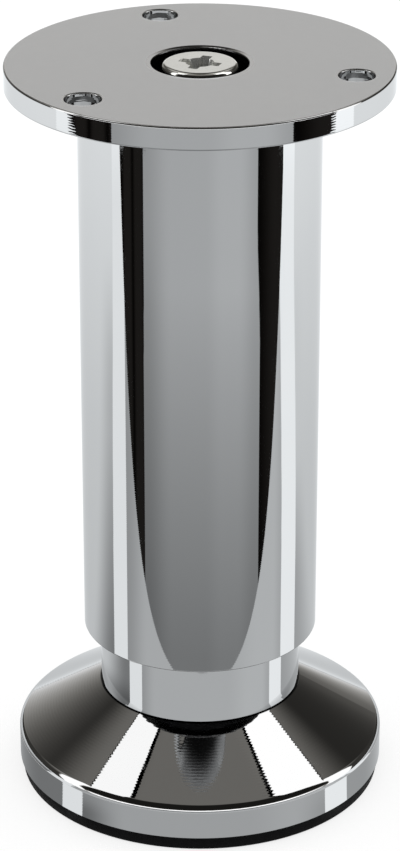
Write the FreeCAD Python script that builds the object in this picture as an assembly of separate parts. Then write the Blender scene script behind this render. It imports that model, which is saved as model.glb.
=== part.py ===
import FreeCAD, Part
import math
import os

Vector = FreeCAD.Vector

# Adjustable cabinet leg. All sizes in millimetres, +Z up.
# The origin is the centre of the pad's underside, on the leg's own axis.

# Mounting plate
plate_d = 80.0
plate_t = 4.8
plate_edge_round = 0.4
screw_hole_d = 7.5
screw_hole_count = 3
screw_hole_angle = -15.0
screw_hole_round = 0.2
screw_hole_soft_edge = 0.5
countersink_d = 11.0
recess_gap = 2.0
recess_floor = 3.7
recess_edge_round = 0.25
recess_soft_edge = 1.0
soft_edge_deg = 7.0
spigot_gap = 0.15

# Plate screw and its spring washer
screw_d = 8.0
screw_length = 20.0
head_d = 16.0
head_h = 6.0
head_round = 1.2
head_below_plate = 0.05
cross_span = 8.7
cross_arm = 2.1
cross_depth = 4.4
cross_foot_span = 4.3
cross_middle_d = 5.8
cross_angle = -21.0
lock_washer_d = 14.8
lock_washer_t = 2.0
lock_washer_split = 1.4

# Tube with its two welded discs
tube_d = 50.4
tube_wall = 1.5
tube_length = 122.3
tube_end_round = 0.3
disc_t = 4.0
disc_edge = 0.6
weld_gap = 0.02
vent_d = 6.0
vent_count = 3
insert_drop = 1.0
insert_hub_d = 18.0
insert_hub_h = 6.0

# Guide bush in the tube's lower end
bush_wall = 1.97
bush_length = 18.0
bush_inset = 0.4
bush_lead = 0.5
running_gap = 0.08

# Neck sleeve and the cap that closes it
neck_showing = 14.2
neck_wall = 2.0
neck_edge = 0.3
cap_t = 3.0
cap_spigot = 3.0
cap_inset = 0.3

# Base flange
base_d = 79.7
base_rim_h = 7.55
base_cone_h = 10.55
base_wall = 3.0
base_edge_round = 1.4
base_foot_chamfer = 0.4
base_land = 0.3
base_spigot_h = 3.0
hub_d = 24.0
hub_bottom = 12.0
rib_count = 6
rib_t = 2.5

# Pad that the base turns on
pad_t = 2.75
pad_inset = 0.65
pad_edge_round = 0.5
pad_play = 0.05
snap_wall = 1.8
snap_lip = 0.5
snap_lip_h = 1.0
snap_ring_h = 4.3
snap_gap = 0.1

# Spindle bolt, its nuts and washers
spindle_d = 10.0
thread_gap = 0.05
bolt_hole_gap = 0.25
fastener_gap = 0.02
spindle_tip = 1.0
hex_flats = 17.0
bolt_head_h = 6.4
nut_h = 8.0
hex_chamfer_deg = 30.0
nut_lead = 0.6
washer_d = 20.0
washer_t = 2.0

# Height adjustment, measured from the height shown
travel_up = 8.0
travel_down = 12.0
stop_gap = 1.4
spindle_reach = 2.5

# Radii that several pieces share
plate_r = plate_d / 2
tube_r = tube_d / 2
tube_bore_r = tube_r - tube_wall
bush_bore_r = tube_bore_r - bush_wall
neck_r = bush_bore_r - running_gap
neck_bore_r = neck_r - neck_wall
base_r = base_d / 2
rim_bore_r = base_r - base_wall
hub_r = hub_d / 2
spindle_r = spindle_d / 2
hex_flat_r = hex_flats / 2
hex_corner_r = hex_flats / math.sqrt(3)
bolt_hole_r = spindle_r + bolt_hole_gap
screw_r = screw_d / 2
recess_r = head_d / 2 + recess_gap
disc_r = tube_bore_r - weld_gap
screw_circle_r = (plate_r + tube_r) / 2
soft_edge_slope = math.tan(math.radians(soft_edge_deg))
vent_circle_r = (disc_r + insert_hub_d / 2) / 2

# Heights from the floor up, at the height shown
rim_bottom = pad_t + pad_play
rim_top = rim_bottom + base_rim_h
base_top = rim_top + base_cone_h
tube_bottom = base_top + neck_showing
tube_top = tube_bottom + tube_length
plate_top = tube_top + plate_t
neck_top = tube_bottom + travel_up + bush_length
cap_top = neck_top + cap_t
clamp_nut_bottom = cap_top + washer_t
clamp_nut_top = clamp_nut_bottom + nut_h
nut_disc_bottom = clamp_nut_top + travel_down + stop_gap
nut_disc_top = nut_disc_bottom + disc_t
spindle_nut_top = nut_disc_top + nut_h
spindle_top = spindle_nut_top + travel_up + spindle_reach
bolt_seat = hub_bottom - washer_t
head_top = plate_top - head_below_plate
head_bottom = head_top - head_h
recess_bottom = head_bottom - lock_washer_t
spigot_bottom = recess_bottom - recess_floor
insert_top = spigot_bottom - insert_drop
insert_bottom = insert_top - disc_t - insert_hub_h


def turned(corners):
    """A solid of revolution about Z. Each corner is (radius, height, rounding)."""
    places = [Vector(r, 0, z) for r, z, rounding in corners]
    arc_starts = []
    arc_middles = []
    arc_ends = []
    for i, (r, z, rounding) in enumerate(corners):
        back = (places[i - 1] - places[i]).normalize()
        ahead = (places[(i + 1) % len(places)] - places[i]).normalize()
        half = back.getAngle(ahead) / 2
        setback = rounding / math.tan(half)
        inward = (back + ahead).normalize() if rounding else Vector()
        arc_starts.append(places[i] + back * setback)
        arc_middles.append(places[i] + inward * (rounding / math.sin(half) - rounding))
        arc_ends.append(places[i] + ahead * setback)
    edges = []
    for i, (r, z, rounding) in enumerate(corners):
        if rounding:
            edges.append(Part.Arc(arc_starts[i], arc_middles[i], arc_ends[i]).toShape())
        following = arc_starts[(i + 1) % len(places)]
        edges.append(Part.LineSegment(arc_ends[i], following).toShape())
    profile = Part.Face(Part.Wire(edges))
    return profile.revolve(Vector(), Vector(0, 0, 1), 360)


def cylinder(radius, bottom, top, x=0.0, y=0.0):
    return Part.makeCylinder(radius, top - bottom, Vector(x, y, bottom))


def cone(bottom_r, top_r, bottom, top, x=0.0, y=0.0):
    return Part.makeCone(bottom_r, top_r, top - bottom, Vector(x, y, bottom))


def around(count, radius, first_angle=0.0):
    """The places of a circular pattern about Z."""
    for i in range(count):
        angle = math.radians(first_angle + 360.0 * i / count)
        yield radius * math.cos(angle), radius * math.sin(angle)


def hexagon(bottom, top):
    points = [Vector(x, y, bottom) for x, y in around(6, hex_corner_r)]
    return Part.Face(Part.makePolygon(points + points[:1])).extrude(Vector(0, 0, top - bottom))


def hex_blank(bottom, top, chamfer_bottom, chamfer_top):
    """A hexagon whose corners are turned off to a cone at the chosen ends."""
    fall = (hex_corner_r - hex_flat_r) * math.tan(math.radians(hex_chamfer_deg))
    corners = [(0, bottom, 0)]
    if chamfer_bottom:
        corners += [(hex_flat_r, bottom, 0), (hex_corner_r, bottom + fall, 0)]
    else:
        corners += [(hex_corner_r, bottom, 0)]
    if chamfer_top:
        corners += [(hex_corner_r, top - fall, 0), (hex_flat_r, top, 0)]
    else:
        corners += [(hex_corner_r, top, 0)]
    corners += [(0, top, 0)]
    return hexagon(bottom, top).common(turned(corners))


def hex_nut(bottom, bore_r):
    top = bottom + nut_h
    body = hex_blank(bottom, top, True, True)
    body = body.cut(cylinder(bore_r, bottom, top))
    body = body.cut(cone(bore_r + nut_lead, bore_r, bottom, bottom + nut_lead))
    return body.cut(cone(bore_r, bore_r + nut_lead, top - nut_lead, top))


def plain_washer(bottom):
    ring = cylinder(washer_d / 2, bottom, bottom + washer_t)
    return ring.cut(cylinder(bolt_hole_r, bottom, bottom + washer_t))


def welded_disc(bottom, bore_r):
    """A disc that closes the tube, with vent holes for the plating bath."""
    top = bottom + disc_t
    disc = turned([
        (bore_r, bottom, 0),
        (disc_r - disc_edge, bottom, 0),
        (disc_r, bottom + disc_edge, 0),
        (disc_r, top - disc_edge, 0),
        (disc_r - disc_edge, top, 0),
        (bore_r, top, 0),
    ])
    for x, y in around(vent_count, vent_circle_r):
        disc = disc.cut(cylinder(vent_d / 2, bottom, top, x, y))
    return disc


def screw_hole():
    """What one screw hole takes out of the plate: polished soft at the top, countersunk underneath."""
    hole_r = screw_hole_d / 2
    countersink_r = countersink_d / 2
    mouth_r = hole_r + screw_hole_soft_edge
    mouth_drop = screw_hole_soft_edge * soft_edge_slope
    above_plate = plate_top + plate_t
    return turned([
        (0, tube_top, 0),
        (countersink_r, tube_top, 0),
        (hole_r, tube_top + countersink_r - hole_r, 0),
        (hole_r, plate_top - mouth_drop, screw_hole_round),
        (mouth_r, plate_top, 0),
        (mouth_r, above_plate, 0),
        (0, above_plate, 0),
    ])


def mounting_plate():
    """Disc with a recess for the screw head and a spigot that centres it in the tube.

    The recess and the holes have the soft edges that polishing leaves before plating.
    """
    spigot_r = tube_bore_r - spigot_gap
    plate = turned([
        (screw_r + bolt_hole_gap, spigot_bottom, 0),
        (spigot_r - disc_edge, spigot_bottom, 0),
        (spigot_r, spigot_bottom + disc_edge, 0),
        (spigot_r, tube_top, 0),
        (plate_r, tube_top, plate_edge_round),
        (plate_r, plate_top, plate_edge_round),
        (recess_r + recess_soft_edge, plate_top, 0),
        (recess_r, plate_top - recess_soft_edge * soft_edge_slope, recess_edge_round),
        (recess_r, recess_bottom, 0),
        (screw_r + bolt_hole_gap, recess_bottom, 0),
    ])
    for x, y in around(screw_hole_count, screw_circle_r, screw_hole_angle):
        hole = screw_hole()
        hole.translate(Vector(x, y, 0))
        plate = plate.cut(hole)
    return plate


def cross_recess():
    """The cross-shaped driver recess: two tapering slots and a conical middle."""
    bottom = head_top - cross_depth
    half_span = cross_span / 2
    half_foot = cross_foot_span / 2
    slot_outline = [
        Vector(-half_span, -cross_arm / 2, head_top),
        Vector(half_span, -cross_arm / 2, head_top),
        Vector(half_foot, -cross_arm / 2, bottom),
        Vector(-half_foot, -cross_arm / 2, bottom),
    ]
    face = Part.Face(Part.makePolygon(slot_outline + slot_outline[:1]))
    slot = face.extrude(Vector(0, cross_arm, 0))
    middle = cone(cross_arm / 2, cross_middle_d / 2, bottom, head_top)
    recess = middle
    for turn in (0, 90):
        arm = slot.copy()
        arm.rotate(Vector(), Vector(0, 0, 1), cross_angle + turn)
        recess = recess.fuse(arm)
    return recess.removeSplitter()


def plate_screw():
    """Pan-head machine screw that holds the plate on the tube."""
    tip = head_bottom - screw_length
    body = turned([
        (0, tip, 0),
        (screw_r - spindle_tip, tip, 0),
        (screw_r, tip + spindle_tip, 0),
        (screw_r, head_bottom, 0),
        (head_d / 2, head_bottom, 0),
        (head_d / 2, head_top, head_round),
        (0, head_top, 0),
    ])
    return body.cut(cross_recess())


def plate_lock_washer():
    """Spring washer, split by a slanting cut."""
    outer_r = lock_washer_d / 2
    ring = cylinder(outer_r, recess_bottom, head_bottom)
    ring = ring.cut(cylinder(screw_r + bolt_hole_gap, recess_bottom, head_bottom))
    slant = lock_washer_t / 2
    outline = [
        Vector(0, -slant, recess_bottom),
        Vector(0, lock_washer_split - slant, recess_bottom),
        Vector(0, lock_washer_split + slant, head_bottom),
        Vector(0, slant, head_bottom),
    ]
    split = Part.Face(Part.makePolygon(outline + outline[:1])).extrude(Vector(outer_r, 0, 0))
    return ring.cut(split)


def leg_tube():
    return turned([
        (tube_bore_r, tube_bottom, 0),
        (tube_r, tube_bottom, tube_end_round),
        (tube_r, tube_top, 0),
        (tube_bore_r, tube_top, 0),
    ])


def top_insert():
    """Welded disc with a threaded hub for the plate screw."""
    bore_r = screw_r + fastener_gap
    disc_bottom = insert_top - disc_t
    hub = cylinder(insert_hub_d / 2, insert_bottom, disc_bottom)
    hub = hub.cut(cylinder(bore_r, insert_bottom, disc_bottom))
    return welded_disc(disc_bottom, bore_r).fuse(hub).removeSplitter()


def nut_disc():
    return welded_disc(nut_disc_bottom, bolt_hole_r)


def spindle_nut():
    return hex_nut(nut_disc_top, spindle_r + thread_gap)


def guide_bush():
    """Moulded bush that guides the neck and closes the gap round it."""
    bottom = tube_bottom + bush_inset
    top = tube_bottom + bush_length
    outer_r = tube_bore_r - weld_gap
    return turned([
        (bush_bore_r + bush_lead, bottom, 0),
        (outer_r, bottom, 0),
        (outer_r, top - bush_lead, 0),
        (outer_r - bush_lead, top, 0),
        (bush_bore_r + bush_lead, top, 0),
        (bush_bore_r, top - bush_lead, 0),
        (bush_bore_r, bottom + bush_lead, 0),
    ])


def neck_sleeve():
    return turned([
        (neck_bore_r, base_top, 0),
        (neck_r - neck_edge, base_top, 0),
        (neck_r, base_top + neck_edge, 0),
        (neck_r, neck_top, neck_edge),
        (neck_bore_r, neck_top, 0),
    ])


def neck_cap():
    """Stepped cap that closes the neck and takes the spindle's clamp nut."""
    spigot_r = neck_bore_r - spigot_gap
    return turned([
        (bolt_hole_r, neck_top - cap_spigot, 0),
        (spigot_r, neck_top - cap_spigot, 0),
        (spigot_r, neck_top, 0),
        (neck_r - cap_inset, neck_top, 0),
        (neck_r - cap_inset, cap_top, 0),
        (bolt_hole_r, cap_top, 0),
    ])


def base_cavity():
    """The hollow under the base, offset inwards from its outside by the wall."""
    cone_run = base_r - neck_r - base_land
    slope = base_cone_h / cone_run
    drop = base_wall * math.hypot(1, slope)
    ceiling = base_top - drop
    eaves = rim_top + (base_r - rim_bore_r) * slope - drop
    return turned([
        (0, rim_bottom, 0),
        (rim_bore_r, rim_bottom, 0),
        (rim_bore_r, eaves, 0),
        (neck_r + base_land, ceiling, 0),
        (0, ceiling, 0),
    ])


def base_flange():
    """Cast base: rim, cone, spigot for the neck, and a ribbed hollow underneath."""
    outside = turned([
        (0, rim_bottom, 0),
        (base_r - base_foot_chamfer, rim_bottom, 0),
        (base_r, rim_bottom + base_foot_chamfer, 0),
        (base_r, rim_top, base_edge_round),
        (neck_r + base_land, base_top, 0),
        (neck_bore_r - spigot_gap, base_top, 0),
        (neck_bore_r - spigot_gap, base_top + base_spigot_h, 0),
        (0, base_top + base_spigot_h, 0),
    ])
    cavity = base_cavity()
    webs = cylinder(hub_r, hub_bottom, base_top)
    snap_ring_r = rim_bore_r - snap_gap - snap_wall - snap_gap
    for i in range(rib_count):
        rib = Part.makeBox(base_r, rib_t, base_top, Vector(0, -rib_t / 2, rim_bottom))
        rib.rotate(Vector(), Vector(0, 0, 1), 360.0 * i / rib_count)
        webs = webs.fuse(rib)
    webs = webs.cut(cylinder(hub_r, rim_bottom, hub_bottom))
    snap_space = cylinder(rim_bore_r, rim_bottom, rim_bottom + snap_ring_h + snap_gap)
    snap_space = snap_space.cut(cylinder(snap_ring_r, rim_bottom, rim_bottom + snap_ring_h + snap_gap))
    webs = webs.cut(snap_space)
    body = outside.cut(cavity).fuse(webs.common(cavity))
    groove_top = rim_bottom + snap_ring_h + snap_gap
    groove_bottom = groove_top - snap_lip_h - 2 * snap_gap
    groove = cylinder(rim_bore_r + snap_lip + snap_gap, groove_bottom, groove_top)
    groove = groove.cut(cylinder(rim_bore_r - snap_gap, groove_bottom, groove_top))
    body = body.cut(groove)
    body = body.cut(cylinder(bolt_hole_r, rim_bottom, base_top + base_spigot_h))
    return body.removeSplitter()


def base_pad():
    """Plastic pad with a snap ring that lets the base turn on it."""
    pad_r = base_r - pad_inset
    ring_r = rim_bore_r - snap_gap
    ring_top = rim_bottom + snap_ring_h
    lip_bottom = ring_top - snap_lip_h
    return turned([
        (0, 0, 0),
        (pad_r, 0, pad_edge_round),
        (pad_r, pad_t, 0),
        (ring_r, pad_t, 0),
        (ring_r, lip_bottom, 0),
        (ring_r + snap_lip, lip_bottom, 0),
        (ring_r + snap_lip, ring_top - snap_lip, 0),
        (ring_r, ring_top, 0),
        (ring_r - snap_wall, ring_top, 0),
        (ring_r - snap_wall, pad_t, 0),
        (0, pad_t, 0),
    ])


def spindle_bolt():
    """Hexagon-head bolt that is clamped in the foot and screws into the tube's nut."""
    shank = turned([
        (0, bolt_seat, 0),
        (spindle_r, bolt_seat, 0),
        (spindle_r, spindle_top - spindle_tip, 0),
        (spindle_r - spindle_tip, spindle_top, 0),
        (0, spindle_top, 0),
    ])
    head = hex_blank(bolt_seat - bolt_head_h, bolt_seat, True, False)
    return shank.fuse(head).removeSplitter()


def bolt_washer():
    return plain_washer(bolt_seat)


def clamp_washer():
    return plain_washer(cap_top)


def clamp_nut():
    return hex_nut(clamp_nut_bottom, spindle_r + fastener_gap)


pieces = [
    mounting_plate,
    plate_screw,
    plate_lock_washer,
    leg_tube,
    top_insert,
    nut_disc,
    spindle_nut,
    guide_bush,
    neck_sleeve,
    neck_cap,
    base_flange,
    base_pad,
    spindle_bolt,
    bolt_washer,
    clamp_washer,
    clamp_nut,
]

os.makedirs("parts", exist_ok=True)
for piece in pieces:
    shape = piece()
    shape.exportStep("parts/" + piece.__name__ + ".step")
    solids = len(shape.Solids)
    print(piece.__name__, "solids", solids, "valid", shape.isValid(), "volume", round(shape.Volume, 2))
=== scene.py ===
import math

import bpy
from mathutils import Matrix, Vector


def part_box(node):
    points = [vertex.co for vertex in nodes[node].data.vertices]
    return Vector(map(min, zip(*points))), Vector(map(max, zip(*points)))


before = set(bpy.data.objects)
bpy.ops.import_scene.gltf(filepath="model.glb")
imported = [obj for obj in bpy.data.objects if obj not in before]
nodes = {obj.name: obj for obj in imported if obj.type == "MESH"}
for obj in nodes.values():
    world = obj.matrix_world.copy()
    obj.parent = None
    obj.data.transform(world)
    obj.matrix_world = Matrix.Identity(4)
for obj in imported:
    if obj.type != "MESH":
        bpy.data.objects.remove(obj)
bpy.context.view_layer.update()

# Camera: the photograph's viewing angle, in metres and degrees
CAMERA_PLACE = (0.0, -0.64545, 0.37599)
CAMERA_PITCH = 65.448
CAMERA_LENS = 140.96
SENSOR_LONG_SIDE = 36.0
NEAR_CLIP = 0.01

UP = (0.0, 0.0, 1.0)
DOWN = (0.0, 0.0, -1.0)
WHITE = (1.0, 1.0, 1.0, 1.0)

# Sizes in metres: those of the pieces come from model.glb
TUBE_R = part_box("leg_tube")[1].x
NECK_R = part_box("neck_sleeve")[1].x
BASE_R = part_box("base_flange")[1].x
PLATE_R, _, PLATE_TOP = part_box("mounting_plate")[1]
SCREW_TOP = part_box("plate_screw")[1].z
RECESS_R = 0.01015  # the plate's recess for the screw
CROSS_R = 0.0046  # reach of the screw's cross recess
CROSS_TOP = SCREW_TOP - 0.00005
FOOT_SHADE_R = NECK_R + 0.0003  # outside of the line of painted shade round the neck's foot
FOOT_SHADE_FADE = 0.00015

# Rounded outer edges: the piece's radius, the edge's own, its centre's height, and the slope above in
# degrees. The base's edge is shaded wider than its solid's, as wide as the photograph's reflections there.
BASE_EDGE = (BASE_R, 0.002, 0.00921, 30.5)
PLATE_EDGE = (PLATE_R, 0.0004, PLATE_TOP - 0.0004, 1.0)

# Turning marks: pitch in metres, tilt along the profile, and share of the tilt that also goes across it
BASE_MARKS = (0.00037, 0.009, 0.8)
PLATE_MARKS = (0.00055, 0.018, 0.0)
TUBE_MARKS = (0.0005, 0.002, 0.3)
MARK_WOBBLE = 5.0  # radians of phase
QUIET_SHARE = 0.3  # tilt left in the quietest patches
UPRIGHT = 0.05  # most that an upright face leans

# Noise: the range that its values mostly keep to, then (scale, detail)
NOISE_RANGE = (0.3, 0.7)
MARK_NOISE = (900.0, 2.0)
MARK_PATCHES = (260.0, 2.0)
CHROME_CLOUD = (55.0, 3.0)
CHROME_GRAIN = (420.0, 2.0)
STEEL_MOTTLE = (380.0, 4.0)
STEEL_GRAIN = (900.0, 2.0)
PLASTIC_MOTTLE = (600.0, 3.0)
PLASTIC_GRAIN = (1500.0, 2.0)
PLASTIC_PORES = (2600.0, 2.0)

# Finishes: darkest and lightest colour, and lowest and highest roughness
CHROME = ((0.57, 0.572, 0.575), (0.59, 0.59, 0.588))
CHROME_ROUGH = (0.015, 0.04)
CHROME_EDGE_TINT = (0.84, 0.84, 0.84, 1.0)
# Painted shade: the near-black colour, with extra roughness, that faces looking down, the plate's recess and
# the line round the neck's foot are darkened towards; then how much is left at the plate's rim, and how much
# goes in the recess
PAINTED_SHADE_COLOUR = (0.02, 0.02, 0.02)
UNDER_SHADE_ROUGH = 0.2
UNDER_SHADE_AT_RIM = 0.3  # how much painted shade the underside still has at the plate's rim
RECESS_SHADE = 0.75
SATIN_UP = (0.994, 0.999)  # upward lean of a face where the satin starts and is full
SATIN_ROUGH = 0.3
SATIN_MATT = 0.43
ZINC = ((0.72, 0.72, 0.69), (0.82, 0.82, 0.79))
ZINC_ROUGH = (0.06, 0.14)
CROSS_MATT = 0.2
CROSS_ROUGH = 0.06
STEEL = ((0.36, 0.36, 0.36), (0.46, 0.46, 0.46))
STEEL_ROUGH = (0.3, 0.45)
NYLON = ((0.016, 0.016, 0.017), (0.026, 0.026, 0.028))
PAD = ((0.0025, 0.0025, 0.003), (0.006, 0.006, 0.0065))
PLASTIC_ROUGH = (0.45, 0.65)
PLASTIC_SHINE = 0.06
PORE_STRENGTH = 0.3
PORE_DEPTH = 0.00008

# Studio: azimuths in degrees from the camera's side, positive to the right, and brightness with white as 1.
# Strips are given as (left from, to), (right from, to), as seen by each piece.
STRIP_LEFT_LEVEL = 1.24
STRIP_RIGHT_LEVEL = 1.38
FAR_STRIP_GAIN = 0.14
RIM_STRIPS = ((-96.7, -79.0), (85.5, 106.5))
NECK_STRIPS = ((-89.7, -71.2), (88.3, 109.0))
TUBE_STRIPS_NEAR = ((-94.5, -76.5), (87.3, 108.3))
TUBE_STRIPS_FAR = ((-90.5, -76.5), (80.3, 99.3))
FAR_STRIPS_FROM = (-75.6, 78.8)
FAR_STRIP_SLANT = 7.0
FAR_SLANT_DEPTH = 0.075
FAR_GREY = (-51.4, 54.4)
FRONT_FROM, FRONT_TO = -85, 95  # the floor's front, and past it the sides
BLACK_LEVEL = 0.016

# Studio distances in metres: the floor's nearest point that the tube mirrors, the front line, and the cards
TUBE_LOOKS_FROM = 0.069
RIM_LOOKS_FROM = 0.421
FRONT_LINE = 0.0805
LEFT_LINE_SLOPE = 0.02
RIGHT_LINE_SLOPE = 0.05
CARD_HEIGHT = 0.0004
CARD_REACH = 2.6
RIM_REACH = (0.0005, 0.0165)
NECK_REACH = (0.035, 0.066)
TUBE_REACH = (0.062, CARD_REACH)
CARD_ROWS = 72
COLUMNS_PER_DEGREE = 3
FULL_HALF, FRONT_HALF = 180, 84  # half the width of the cards, in degrees
DOME_R = 3.0
DOME_CELLS = (360, 90)
FLOOR_HALF = 5.0
LAMP_DISTANCE = 2.5
LAMP_LENGTH = 0.9
FRAME_MARGIN = 0.07
FRAME_BEHIND = 0.02

# Tall soft boxes: azimuths of the near and far edge at the horizon, and directions (azimuth, elevation)
# of both where the lamps take over
LEFT_FOOT = (69.5, 87.0)
LEFT_NEAR, LEFT_FAR = (-97.5, 69.0), (-111.5, 56.5)
RIGHT_FOOT = (79.5, 100.0)
RIGHT_NEAR, RIGHT_FAR = (99.5, 67.5), (116.5, 51.3)
LEFT_LAMP_LEVEL = 1.6
RIGHT_LAMP_LEVEL = 1.72
PANEL_TOP = 52.0
PANEL_LEVEL = 1.75
ZENITH_LEVEL = 0.22
WORLD_LIGHT = 0.85
FLOOR_GREY = (0.35, 0.35, 0.35, 1.0)
FLOOR_GLOW = 0.72
FLOOR_ROUGH = 0.9

# Tints of the cards: at level 0, and from the level given last
FLOOR_TINT = ((1.1, 0.98, 0.88), (0.97, 1.0, 1.02), 0.1)
SKY_TINT = ((1.0, 0.96, 0.88), (1.0, 1.0, 1.0), 1.0)


def mix(a, b, t):
    return a + (b - a) * t


def new_material(name):
    made = bpy.data.materials.new(name)
    made.use_nodes = True
    tree = made.node_tree
    return made, tree, tree.nodes["Principled BSDF"]


def add(tree, kind, **settings):
    made = tree.nodes.new("ShaderNode" + kind)
    for key, value in settings.items():
        setattr(made, key, value)
    return made


def math_node(tree, operation, a, b=0.0):
    made = add(tree, "Math", operation=operation)
    for socket, value in zip(made.inputs, (a, b)):
        if isinstance(value, (int, float)):
            socket.default_value = value
        else:
            tree.links.new(value, socket)
    return made.outputs[0]


def vector_node(tree, operation, a, b=None, scale=None):
    made = add(tree, "VectorMath", operation=operation)
    for socket, value in zip(made.inputs, (a, b)):
        if value is None:
            continue
        if isinstance(value, tuple):
            socket.default_value = value
        else:
            tree.links.new(value, socket)
    if scale is not None:
        tree.links.new(scale, made.inputs["Scale"])
    return made.outputs["Value" if operation in ("DOT_PRODUCT", "LENGTH") else "Vector"]


def noise(tree, coords, grain):
    scale, detail = grain
    made = add(tree, "TexNoise")
    made.inputs["Scale"].default_value = scale
    made.inputs["Detail"].default_value = detail
    tree.links.new(coords, made.inputs["Vector"])
    return made.outputs["Fac"]


def spread(tree, value, low, high):
    """Maps a noise value, which stays near its middle, to a range."""
    made = add(tree, "MapRange")
    made.inputs["From Min"].default_value, made.inputs["From Max"].default_value = NOISE_RANGE
    made.inputs["To Min"].default_value = low
    made.inputs["To Max"].default_value = high
    tree.links.new(value, made.inputs["Value"])
    return made.outputs["Result"]


def mixed_colour(tree, factor, dark, light):
    made = add(tree, "Mix", data_type="RGBA")
    made.inputs["A"].default_value = dark + (1.0,)
    made.inputs["B"].default_value = light + (1.0,)
    tree.links.new(factor, made.inputs["Factor"])
    return made.outputs["Result"]


def tinted(tree, factor, colour, towards):
    made = add(tree, "Mix", data_type="RGBA")
    made.inputs["B"].default_value = towards + (1.0,)
    tree.links.new(colour, made.inputs["A"])
    tree.links.new(factor, made.inputs["Factor"])
    return made.outputs["Result"]


def level_part(tree, coords):
    return vector_node(tree, "MULTIPLY", coords, (1.0, 1.0, 0.0))


def axis_distance(tree, coords):
    return vector_node(tree, "LENGTH", level_part(tree, coords))


def faded(tree, value, start, end, first=0.0, last=1.0):
    """Goes smoothly from first to last while the value goes from start to end."""
    made = add(tree, "MapRange", interpolation_type="SMOOTHSTEP")
    made.inputs["From Min"].default_value = start
    made.inputs["From Max"].default_value = end
    made.inputs["To Min"].default_value = first
    made.inputs["To Max"].default_value = last
    tree.links.new(value, made.inputs["Value"])
    return made.outputs["Result"]


def rounded_edge_normal(tree, coords, normal, edge):
    """The true normal of a rounded outer edge, and elsewhere the mesh's own."""
    outer_r, edge_round, height, slope = edge
    flat = level_part(tree, coords)
    centre_r = outer_r - edge_round
    outward = vector_node(tree, "NORMALIZE", flat)
    centre = vector_node(tree, "MULTIPLY", outward, (centre_r, centre_r, 0.0))
    centre = vector_node(tree, "ADD", centre, (0.0, 0.0, height))
    across = vector_node(tree, "NORMALIZE", vector_node(tree, "SUBTRACT", coords, centre))
    rise = vector_node(tree, "DOT_PRODUCT", across, UP)
    outside = math_node(tree, "GREATER_THAN", vector_node(tree, "LENGTH", flat), centre_r)
    above = math_node(tree, "GREATER_THAN", rise, 0.0)
    below = math_node(tree, "LESS_THAN", rise, math.cos(math.radians(slope)))
    share = math_node(tree, "MULTIPLY", outside, math_node(tree, "MULTIPLY", above, below))
    made = add(tree, "Mix", data_type="VECTOR")
    for socket, value in (("Factor", share), ("A", normal), ("B", across)):
        tree.links.new(value, made.inputs[socket])
    return made.outputs["Result"]


def turning_marks(tree, coords, marks, edge, upright_only):
    """A normal that rocks along the profile and a little across it, as rings left by turning do."""
    pitch, tilt, chatter = marks
    parts = add(tree, "SeparateXYZ")
    tree.links.new(coords, parts.inputs[0])
    phase = math_node(tree, "MULTIPLY", parts.outputs["Z"], 2 * math.pi / pitch)
    wobble = math_node(tree, "MULTIPLY", noise(tree, coords, MARK_NOISE), MARK_WOBBLE)
    phase = math_node(tree, "ADD", phase, wobble)
    wave = math_node(tree, "SINE", phase)
    patch = spread(tree, noise(tree, coords, MARK_PATCHES), QUIET_SHARE * tilt, tilt)
    rock = math_node(tree, "MULTIPLY", wave, patch)
    normal = add(tree, "NewGeometry").outputs["Normal"]
    if edge:
        normal = rounded_edge_normal(tree, coords, normal, edge)
    lean = vector_node(tree, "DOT_PRODUCT", normal, UP)
    if upright_only:
        upright = math_node(tree, "LESS_THAN", math_node(tree, "ABSOLUTE", lean), UPRIGHT)
        rock = math_node(tree, "MULTIPLY", rock, upright)
    upward = vector_node(tree, "SCALE", normal, scale=lean)
    along = vector_node(tree, "SUBTRACT", UP, upward)
    across = vector_node(tree, "CROSS_PRODUCT", UP, normal)
    along = vector_node(tree, "SCALE", along, scale=rock)
    sideways = math_node(tree, "MULTIPLY", rock, chatter)
    across = vector_node(tree, "SCALE", across, scale=sideways)
    rocked = vector_node(tree, "ADD", vector_node(tree, "ADD", normal, along), across)
    return vector_node(tree, "NORMALIZE", rocked)


def painted_under_shade(tree, coords):
    """Painted shade: 1 in the recess and on faces that look down, less towards the rim; the same mask also
    makes them rougher.
    """
    normal = add(tree, "NewGeometry").outputs["Normal"]
    down = vector_node(tree, "DOT_PRODUCT", normal, DOWN)
    distance = axis_distance(tree, coords)
    reach = faded(tree, distance, mix(TUBE_R, PLATE_R, 0.4), PLATE_R, 1.0, UNDER_SHADE_AT_RIM)
    under = math_node(tree, "MULTIPLY", math_node(tree, "MAXIMUM", down, 0.0), reach)
    recess = math_node(tree, "LESS_THAN", distance, RECESS_R)
    return math_node(tree, "MAXIMUM", under, math_node(tree, "MULTIPLY", recess, RECESS_SHADE))


def satin_top(tree):
    """1 on a flat face that looks up."""
    normal = add(tree, "NewGeometry").outputs["Normal"]
    return faded(tree, vector_node(tree, "DOT_PRODUCT", normal, UP), *SATIN_UP)


def painted_foot_shade(tree, coords):
    """1 on the base close to the neck: a line of painted shade round the neck's foot."""
    start, end = FOOT_SHADE_R - FOOT_SHADE_FADE, FOOT_SHADE_R + FOOT_SHADE_FADE
    return faded(tree, axis_distance(tree, coords), start, end, 1.0, 0.0)


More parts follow.
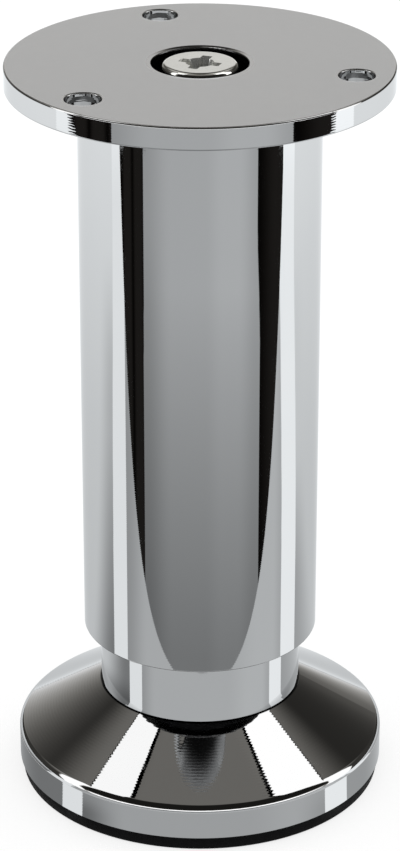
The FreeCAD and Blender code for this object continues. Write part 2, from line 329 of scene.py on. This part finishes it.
def chrome(name, marks, edge=None, underside=False, foot=False):
    """Chrome with turning marks. Underside adds painted shade, with rougher plating, on faces that look down
    and in the recess, and a satin top; foot adds a line of painted shade round the neck.
    """
    made, tree, shader = new_material(name)
    coords = add(tree, "TexCoord").outputs["Object"]
    cloud = noise(tree, coords, CHROME_CLOUD)
    shader.inputs["Metallic"].default_value = 1.0
    shader.inputs["Specular Tint"].default_value = CHROME_EDGE_TINT
    colour = mixed_colour(tree, cloud, *CHROME)
    rough = spread(tree, noise(tree, coords, CHROME_GRAIN), *CHROME_ROUGH)
    # Painted shade: a dark line on the base round the neck's foot
    if foot:
        colour = tinted(tree, painted_foot_shade(tree, coords), colour, PAINTED_SHADE_COLOUR)
    if underside:
        # Painted shade: faces that look down and the plate's recess are darkened, and made rougher
        under_shade = painted_under_shade(tree, coords)
        colour = tinted(tree, under_shade, colour, PAINTED_SHADE_COLOUR)
        rough = math_node(tree, "ADD", rough, math_node(tree, "MULTIPLY", under_shade, UNDER_SHADE_ROUGH))
        satin = satin_top(tree)
        rough = math_node(tree, "ADD", rough, math_node(tree, "MULTIPLY", satin, SATIN_ROUGH))
        metal = math_node(tree, "SUBTRACT", 1.0, math_node(tree, "MULTIPLY", satin, SATIN_MATT))
        tree.links.new(metal, shader.inputs["Metallic"])
    tree.links.new(colour, shader.inputs["Base Color"])
    tree.links.new(rough, shader.inputs["Roughness"])
    tree.links.new(turning_marks(tree, coords, marks, edge, underside), shader.inputs["Normal"])
    return made


def cross_hollow(tree, coords):
    """1 inside the screw's cross recess."""
    parts = add(tree, "SeparateXYZ")
    tree.links.new(coords, parts.inputs[0])
    inside = math_node(tree, "LESS_THAN", axis_distance(tree, coords), CROSS_R)
    sunk = math_node(tree, "LESS_THAN", parts.outputs["Z"], CROSS_TOP)
    return math_node(tree, "MULTIPLY", inside, sunk)


def plated_steel(name, colours, roughness, cross=False):
    """Mottled bare metal; cross makes the plating matter in the screw's pressed recess."""
    made, tree, shader = new_material(name)
    coords = add(tree, "TexCoord").outputs["Object"]
    colour = mixed_colour(tree, noise(tree, coords, STEEL_MOTTLE), *colours)
    rough = spread(tree, noise(tree, coords, STEEL_GRAIN), *roughness)
    shader.inputs["Metallic"].default_value = 1.0
    if cross:
        hollow = cross_hollow(tree, coords)
        rough = math_node(tree, "ADD", rough, math_node(tree, "MULTIPLY", hollow, CROSS_ROUGH))
        metal = math_node(tree, "SUBTRACT", 1.0, math_node(tree, "MULTIPLY", hollow, CROSS_MATT))
        tree.links.new(metal, shader.inputs["Metallic"])
    tree.links.new(colour, shader.inputs["Base Color"])
    tree.links.new(rough, shader.inputs["Roughness"])
    return made


def black_plastic(name, colours):
    made, tree, shader = new_material(name)
    coords = add(tree, "TexCoord").outputs["Object"]
    colour = mixed_colour(tree, noise(tree, coords, PLASTIC_MOTTLE), *colours)
    rough = spread(tree, noise(tree, coords, PLASTIC_GRAIN), *PLASTIC_ROUGH)
    tree.links.new(colour, shader.inputs["Base Color"])
    tree.links.new(rough, shader.inputs["Roughness"])
    shader.inputs["Specular IOR Level"].default_value = PLASTIC_SHINE
    bump = add(tree, "Bump")
    bump.inputs["Strength"].default_value = PORE_STRENGTH
    bump.inputs["Distance"].default_value = PORE_DEPTH
    tree.links.new(noise(tree, coords, PLASTIC_PORES), bump.inputs["Height"])
    tree.links.new(bump.outputs["Normal"], shader.inputs["Normal"])
    return made


def finish_nodes():
    cone_chrome = chrome("chrome_turned_base", BASE_MARKS, BASE_EDGE, foot=True)
    rim_chrome = chrome("chrome_turned_plate", PLATE_MARKS, PLATE_EDGE, underside=True)
    tube_chrome = chrome("chrome_tube", TUBE_MARKS, underside=True)
    zinc = plated_steel("zinc_plate", ZINC, ZINC_ROUGH)
    screw = plated_steel("zinc_plate_screw", ZINC, ZINC_ROUGH, cross=True)
    steel = plated_steel("plain_steel", STEEL, STEEL_ROUGH)
    nylon = black_plastic("black_nylon", NYLON)
    pad = black_plastic("black_pad", PAD)
    finishes = {
        "mounting_plate": rim_chrome,
        "plate_screw": screw,
        "leg_tube": tube_chrome,
        "neck_sleeve": tube_chrome,
        "base_flange": cone_chrome,
        "top_insert": steel,
        "nut_disc": steel,
        "neck_cap": steel,
        "guide_bush": nylon,
        "base_pad": pad,
    }
    for name, node in nodes.items():
        node.data.materials.clear()
        node.data.materials.append(finishes.get(name, zinc))


def glossy_only(card):
    """A studio card that only reflections see."""
    card.visible_camera = False
    card.visible_diffuse = False
    card.visible_shadow = False


def card_material(name, dark, light, full):
    """Glows by the card's own level, with a tint that goes from dark to light by the level named full."""
    made = bpy.data.materials.new(name)
    made.use_nodes = True
    tree = made.node_tree
    tree.nodes.clear()
    level = add(tree, "Attribute", attribute_name="level").outputs["Fac"]
    glow = add(tree, "Emission")
    out = add(tree, "OutputMaterial")
    share = math_node(tree, "DIVIDE", level, full)
    tree.links.new(mixed_colour(tree, share, dark, light), glow.inputs["Color"])
    tree.links.new(level, glow.inputs["Strength"])
    tree.links.new(glow.outputs[0], out.inputs["Surface"])
    return made


def zone(name, columns, rows, place, level, material):
    """A grid card: place(u, v) gives each corner and level(u, v) its brightness, u and v from 0 to 1."""
    corners = []
    levels = []
    for i in range(columns + 1):
        for j in range(rows + 1):
            corners.append(place(i / columns, j / rows))
            levels.append(level(i / columns, j / rows))
    faces = []
    for i in range(columns):
        for j in range(rows):
            first = i * (rows + 1) + j
            faces.append((first, first + rows + 1, first + rows + 2, first + 1))
    mesh = bpy.data.meshes.new(name)
    mesh.from_pydata(corners, [], faces)
    mesh.attributes.new("level", "FLOAT", "POINT").data.foreach_set("value", levels)
    mesh.materials.append(material)
    card = bpy.data.objects.new(name, mesh)
    bpy.context.scene.collection.objects.link(card)
    glossy_only(card)


def clamped(t):
    return min(max(t, 0.0), 1.0)


def ease(low, high, value):
    """Goes smoothly from 0 to 1 while the value goes from low to high."""
    t = clamped((value - low) / (high - low))
    return t * t * (3 - 2 * t)


def on_floor(azimuth, distance):
    turn = math.radians(azimuth)
    return Vector((distance * math.sin(turn), -distance * math.cos(turn), 0.0))


def mirrored(azimuth, radius, reach):
    """The floor point that an upright cylinder of this radius mirrors towards the camera."""
    return on_floor(azimuth / 2, radius) + on_floor(azimuth, reach)


def floor_ring(name, radius, half, reach, level, height, material):
    """The floor round the object as one cylinder mirrors it; reach(azimuth) is (nearest, furthest)."""
    columns = 2 * half * COLUMNS_PER_DEGREE

    def polar(u, v):
        azimuth = mix(-half, half, u)
        near, far = reach(azimuth)
        return azimuth, mix(near, far, v * v)

    def place(u, v):
        azimuth, distance = polar(u, v)
        point = mirrored(azimuth, radius, distance)
        return (point.x, point.y, height)

    zone(name, columns, CARD_ROWS, place, lambda u, v: level(*polar(u, v)), material)


# What the cards and the dome show: smooth fades over azimuth, distance and elevation


def strip_or(azimuth, distance, strips, level):
    """The two bright strips at the sides, and elsewhere the level given."""
    left, right = strips
    gain = 1 + FAR_STRIP_GAIN * ease(0.36, 0.46, distance)
    if left[0] < azimuth < left[1]:
        return STRIP_LEFT_LEVEL * gain
    if right[0] < azimuth < right[1]:
        return STRIP_RIGHT_LEVEL * gain
    return level


def rim_level(azimuth, distance):
    """What the base's rim mirrors."""
    shade = mix(0.6, 0.3, ease(0.006, 0.015, distance))
    front = 0.57 * (1 - shade * ease(46, 78, -azimuth)) + 0.06 * ease(30, 60, azimuth)
    front -= 0.2 * shade * ease(60, 86, azimuth)
    left = mix(0.28, 0.42, ease(120, 165, -azimuth))
    right = mix(0.52, 0.68, ease(125, 160, azimuth))
    level = left if azimuth < FRONT_FROM else right if azimuth > FRONT_TO else front
    return strip_or(azimuth, distance, RIM_STRIPS, level)


def open_floor(distance):
    """The floor at the sides and behind, which fades far off."""
    return mix(0.88, 1.2, ease(0.05, 0.5, distance)) * (1 - 0.5 * ease(0.7, 2.0, distance))


def near_level(azimuth, distance):
    """The floor between the base and the front line, and the soft shade at its sides."""
    front = 0.66 * (1 - 0.3 * ease(52, 76, -azimuth))
    front += 0.07 * ease(30, 60, azimuth) - 0.1 * ease(76, 87, azimuth)
    left_width = 38 * (TUBE_LOOKS_FROM / distance) ** 0.7
    left_start = 0.3 + 0.4 * clamped((distance - TUBE_LOOKS_FROM) / 0.12)
    left = mix(left_start, open_floor(distance), ease(94, 98 + left_width, -azimuth))
    right_width = 48 * (TUBE_LOOKS_FROM / distance)
    right_start = 0.55 + 0.4 * ease(0.09, 0.19, distance)
    right = mix(right_start, open_floor(distance), ease(103, 107 + right_width, azimuth))
    side = left if azimuth < 0 else right
    side = mix(side, open_floor(distance), ease(0.19, 0.33, distance))
    return front if FRONT_FROM <= azimuth <= FRONT_TO else side


def neck_level(azimuth, distance):
    """What the neck mirrors."""
    level = near_level(azimuth, distance)
    if azimuth < FRONT_FROM:
        level *= mix(0.45, 1.0, ease(0.036, 0.052, distance))
    return strip_or(azimuth, distance, NECK_STRIPS, level)


def tube_level(azimuth, distance):
    """What the tube mirrors, apart from the front."""
    away = ease(0.1, 0.36, distance)
    strips = [
        [mix(near, far, away) for near, far in zip(near_strip, far_strip)]
        for near_strip, far_strip in zip(TUBE_STRIPS_NEAR, TUBE_STRIPS_FAR)
    ]
    return strip_or(azimuth, distance, strips, near_level(azimuth, distance))


def ahead_level(azimuth, distance, grey_left, grey_right):
    """Grey ahead and black at both sides, beyond the front line."""
    if azimuth < grey_left:
        streak = abs(math.sin(math.radians(15 * azimuth))) ** 8
        return BLACK_LEVEL * (1 - 0.8 * streak)
    if azimuth > grey_right:
        return BLACK_LEVEL * mix(0.2, 1.0, ease(56, 76, azimuth))
    level = 0.28 + 0.34 * clamped((distance - TUBE_LOOKS_FROM) / 0.228)
    left_shade = mix(0.34, 0.24, ease(0.28, 0.36, distance)) * ease(26, 54, -azimuth)
    right_shade = 0.2 * ease(36, 56, azimuth) - 0.1 * ease(4, 22, azimuth)
    return level * (1 - left_shade - right_shade)


def front_level(azimuth, distance):
    """What the tube mirrors in front."""
    grey_left = mix(-55.3, -54.4, ease(0.2, 0.32, distance))
    grey_right = mix(58.9, 55.4, ease(0.24, 0.36, distance))
    return ahead_level(azimuth, distance, grey_left, grey_right)


def far_level(azimuth, distance):
    """What the plate's rim mirrors: the strips' edges slant here, so its turning marks show as teeth."""
    slant = FAR_STRIP_SLANT * clamped((distance - RIM_LOOKS_FROM) / FAR_SLANT_DEPTH)
    left, right = FAR_STRIPS_FROM
    if azimuth > right + slant:
        return (1 + FAR_STRIP_GAIN) * STRIP_RIGHT_LEVEL
    if azimuth < left - slant:
        return (1 + FAR_STRIP_GAIN) * STRIP_LEFT_LEVEL
    return ahead_level(azimuth, distance, *FAR_GREY)


def front_line(azimuth):
    """How far off the front line is, along the tube's mirrored rays."""
    turn = math.radians(azimuth)
    start = on_floor(azimuth / 2, TUBE_R)
    slope = LEFT_LINE_SLOPE if azimuth < 0 else RIGHT_LINE_SLOPE
    return (FRONT_LINE + start.y - slope * start.x) / (math.cos(turn) + slope * math.sin(turn))


def front_reach(azimuth):
    return min(front_line(azimuth), RIM_LOOKS_FROM), RIM_LOOKS_FROM


def far_reach(azimuth):
    return min(max(front_line(azimuth), RIM_LOOKS_FROM), CARD_REACH), CARD_REACH


def floor_cards(material):
    """Three cards all round, and two that lie over them in front."""
    over = 2 * CARD_HEIGHT
    for name, radius, half, reach, level, height in (
        ("rim_floor", BASE_R, FULL_HALF, lambda azimuth: RIM_REACH, rim_level, CARD_HEIGHT),
        ("neck_floor", NECK_R, FULL_HALF, lambda azimuth: NECK_REACH, neck_level, CARD_HEIGHT),
        ("tube_floor", TUBE_R, FULL_HALF, lambda azimuth: TUBE_REACH, tube_level, CARD_HEIGHT),
        ("front_floor", TUBE_R, FRONT_HALF, front_reach, front_level, over),
        ("far_floor", TUBE_R, FRONT_HALF, far_reach, far_level, over),
    ):
        floor_ring(name, radius, half, reach, level, height, material)


def panel_edges(azimuth, elevation):
    """Azimuths of the near and far edge of the tall soft box on this side, which leans back as it rises."""
    left = azimuth < 0
    foot = LEFT_FOOT if left else RIGHT_FOOT
    tops = (LEFT_NEAR, LEFT_FAR) if left else (RIGHT_NEAR, RIGHT_FAR)
    return [mix(low, abs(top[0]), elevation / top[1]) for low, top in zip(foot, tops)]


def front_sky(away, elevation):
    """Bright at the horizon, black above it and grey overhead."""
    horizon = 2.6 - 1.3 * ease(60, 80, away)
    aside = ease(40, 70, away)
    overhead = 0.2 * ease(mix(70, 62, aside), mix(80, 72, aside), elevation)
    return mix(horizon, 0.015, ease(3, 13, elevation)) + overhead


def back_sky(elevation):
    """Bright at the horizon, dark above it and grey overhead."""
    horizon = mix(1.5, 0.74, ease(3, 12, elevation))
    level = mix(horizon, 0.03, ease(26, 33, elevation)) + 0.05 * ease(40, 50, elevation)
    return mix(level, ZENITH_LEVEL, ease(73, 79, elevation))


def side_sky(azimuth, elevation):
    """The shade that the base's cone mirrors, along a slanting line, and round that line a plain level."""
    if azimuth < 0:
        shade = math.exp(-elevation / 12.5)
    else:
        shade = 0.85 * math.exp(-elevation / 6.0) + 0.03
    shade += 0.2 * ease(38, 56, elevation)
    cone_mirrors = 13 + 1.07 * (153 - abs(azimuth))
    plain = mix(0.05, 0.5, ease(26, 50, elevation))
    level = mix(shade, plain, ease(6, 13, abs(elevation - cone_mirrors)))
    return mix(level, ZENITH_LEVEL, ease(70, 76, elevation))


def sky_level(azimuth, elevation):
    """Brightness of the studio round and over the object."""
    away = abs(azimuth)
    near, far = panel_edges(azimuth, elevation)
    if near < away < far and elevation < PANEL_TOP:
        return PANEL_LEVEL
    open_side = front_sky(away, elevation) if away < 120 else back_sky(elevation)
    aside = ease(near - 4, near, away) * (1 - ease(158, 168, away))
    return mix(open_side, side_sky(azimuth, elevation), aside)


def toward(azimuth, elevation):
    """The direction of an azimuth and elevation."""
    rise = math.radians(elevation)
    return on_floor(azimuth, math.cos(rise)) + Vector((0.0, 0.0, math.sin(rise)))


def studio_dome(material):
    def angles(u, v):
        return mix(-180.0, 180.0, u), mix(0.0, 90.0, v)

    def place(u, v):
        return tuple(DOME_R * toward(*angles(u, v)))

    zone("studio_dome", *DOME_CELLS, place, lambda u, v: sky_level(*angles(u, v)), material)


def softbox(name, inner, outer, level, material):
    """A lamp that spans two directions, given as azimuth and elevation, with a dark frame behind it."""
    start = toward(*inner) * LAMP_DISTANCE
    end = toward(*outer) * LAMP_DISTANCE
    across = (end - start).normalized()
    back = (start + end).normalized()
    along = back.cross(across)
    lamp = bpy.data.lights.new(name, "AREA")
    lamp.shape = "RECTANGLE"
    lamp.size = (end - start).length
    lamp.size_y = LAMP_LENGTH
    lamp.energy = level * math.pi * lamp.size * lamp.size_y
    placed = bpy.data.objects.new(name, lamp)
    turn = Matrix((across, along, back)).transposed().to_4x4()
    placed.matrix_world = Matrix.Translation((start + end) / 2) @ turn
    placed.visible_camera = False
    bpy.context.scene.collection.objects.link(placed)

    def frame_place(u, v):
        side = mix(-FRAME_MARGIN, lamp.size + FRAME_MARGIN / 3, u)
        up = mix(-0.5, 0.5, v)
        return tuple(start + across * side + along * up * LAMP_LENGTH + back * FRAME_BEHIND)

    zone(name + "_frame", 1, 1, frame_place, lambda u, v: 0.0, material)


def seen_directly(tree):
    """1 for camera, glossy and transmission rays, 0 for the rest."""
    path = add(tree, "LightPath")
    seen = math_node(tree, "MAXIMUM", path.outputs["Is Camera Ray"], path.outputs["Is Glossy Ray"])
    return math_node(tree, "MAXIMUM", seen, path.outputs["Is Transmission Ray"])


def studio_world():
    world = bpy.data.worlds.new("studio")
    bpy.context.scene.world = world
    world.use_nodes = True
    tree = world.node_tree
    sky = tree.nodes["Background"]
    sky.inputs["Color"].default_value = WHITE
    strength = add(tree, "MapRange")
    strength.inputs["To Min"].default_value = WORLD_LIGHT
    strength.inputs["To Max"].default_value = 1.0
    tree.links.new(seen_directly(tree), strength.inputs["Value"])
    tree.links.new(strength.outputs["Result"], sky.inputs["Strength"])


def studio_floor():
    mesh = bpy.data.meshes.new("floor")
    corners = [(x * FLOOR_HALF, y * FLOOR_HALF, 0) for x, y in ((-1, -1), (1, -1), (1, 1), (-1, 1))]
    mesh.from_pydata(corners, [], [(0, 1, 2, 3)])
    floor = bpy.data.objects.new("floor", mesh)
    bpy.context.scene.collection.objects.link(floor)
    made, tree, shader = new_material("pale_floor")
    shader.inputs["Base Color"].default_value = FLOOR_GREY
    shader.inputs["Roughness"].default_value = FLOOR_ROUGH
    shader.inputs["Specular IOR Level"].default_value = 0.0
    shader.inputs["Emission Color"].default_value = WHITE
    glow = math_node(tree, "MULTIPLY", seen_directly(tree), FLOOR_GLOW)
    tree.links.new(glow, shader.inputs["Emission Strength"])
    mesh.materials.append(made)


def studio():
    floor_tint = card_material("floor_card", *FLOOR_TINT)
    sky_tint = card_material("sky_card", *SKY_TINT)
    studio_world()
    studio_floor()
    floor_cards(floor_tint)
    studio_dome(sky_tint)
    softbox("softbox_left", LEFT_NEAR, LEFT_FAR, LEFT_LAMP_LEVEL, sky_tint)
    softbox("softbox_right", RIGHT_NEAR, RIGHT_FAR, RIGHT_LAMP_LEVEL, sky_tint)


def camera():
    lens = bpy.data.cameras.new("camera")
    lens.lens = CAMERA_LENS
    lens.sensor_width = SENSOR_LONG_SIDE
    lens.clip_start = NEAR_CLIP
    placed = bpy.data.objects.new("camera", lens)
    placed.location = CAMERA_PLACE
    placed.rotation_euler = (math.radians(CAMERA_PITCH), 0.0, 0.0)
    bpy.context.scene.collection.objects.link(placed)
    bpy.context.scene.camera = placed


finish_nodes()
studio()
camera()
bpy.context.scene.view_settings.view_transform = "Standard"

bpy.context.view_layer.update()
